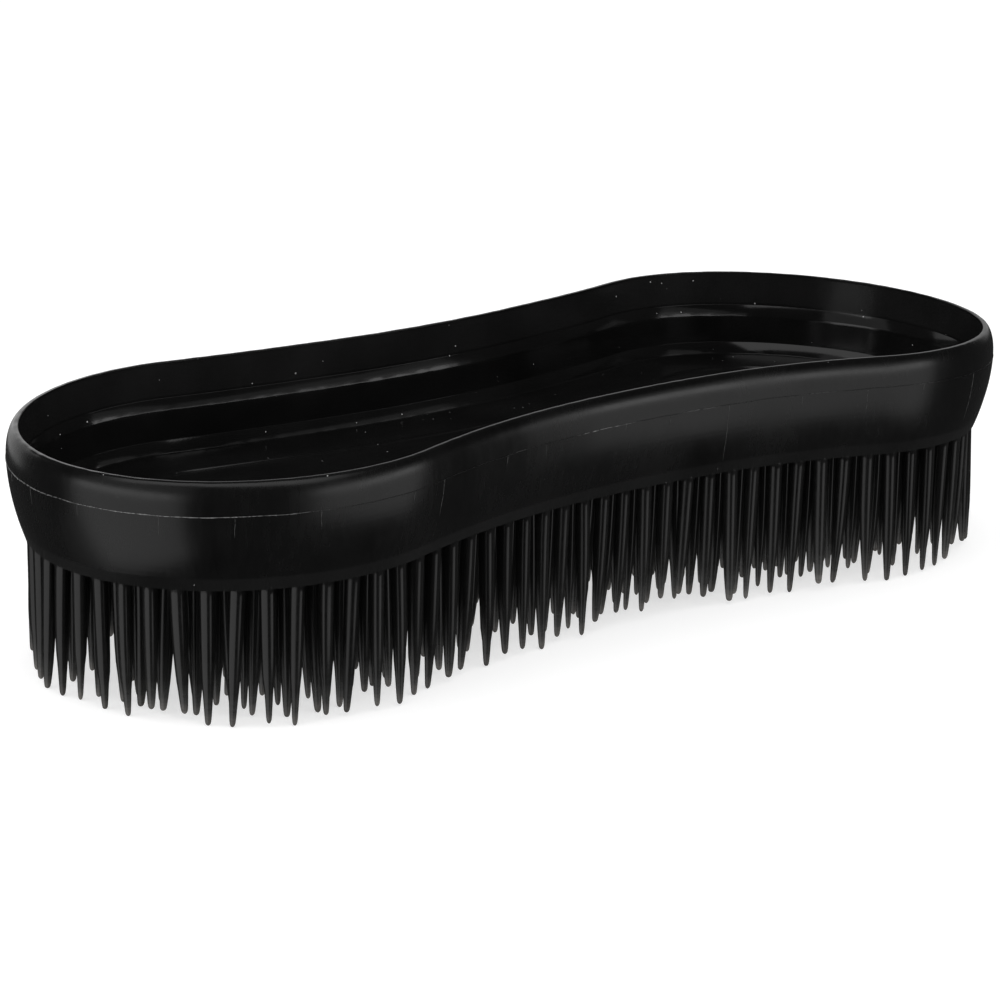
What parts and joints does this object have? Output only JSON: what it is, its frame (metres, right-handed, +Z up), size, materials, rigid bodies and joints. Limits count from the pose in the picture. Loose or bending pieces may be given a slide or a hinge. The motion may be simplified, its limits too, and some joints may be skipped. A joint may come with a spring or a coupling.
{
  "type": "horse grooming brush",
  "caption": "Figure-of-eight grooming brush: a rimmed tray with a stepped floor to hold, and rings of flexible tapered bristles under it.",
  "frame": {"origin": "middle of the footprint, on the plane of the bristle tips", "axes": "+X along the brush, +Y across it, +Z up from the bristle tips to the rim of the tray"},
  "size_m": [0.17, 0.0656, 0.035],
  "materials": {
    "tray": "semi-gloss black moulded plastic with light scuffs",
    "bristles": "satin charcoal moulded plastic, paler towards the tips"
  },
  "bodies": {
    "tray": {"tray_body": "tray"},
    "bristles": {"bristle_ring_1": "bristles", "bristle_ring_2": "bristles", "bristle_ring_3": "bristles", "bristle_ring_4": "bristles", "bristle_ring_5": "bristles", "bristle_ring_6": "bristles", "bristle_inner_ring_left": "bristles", "bristle_inner_ring_right": "bristles", "bristle_core_left": "bristles", "bristle_core_right": "bristles"}
  },
  "joints": [
    {"name": "bristle_sweep", "type": "slide", "parent": "tray", "child": "bristles", "axis": [1, 0, 0], "range_m": [-0.004, 0.004], "stiffness_N_per_m": 1500}
  ]
}
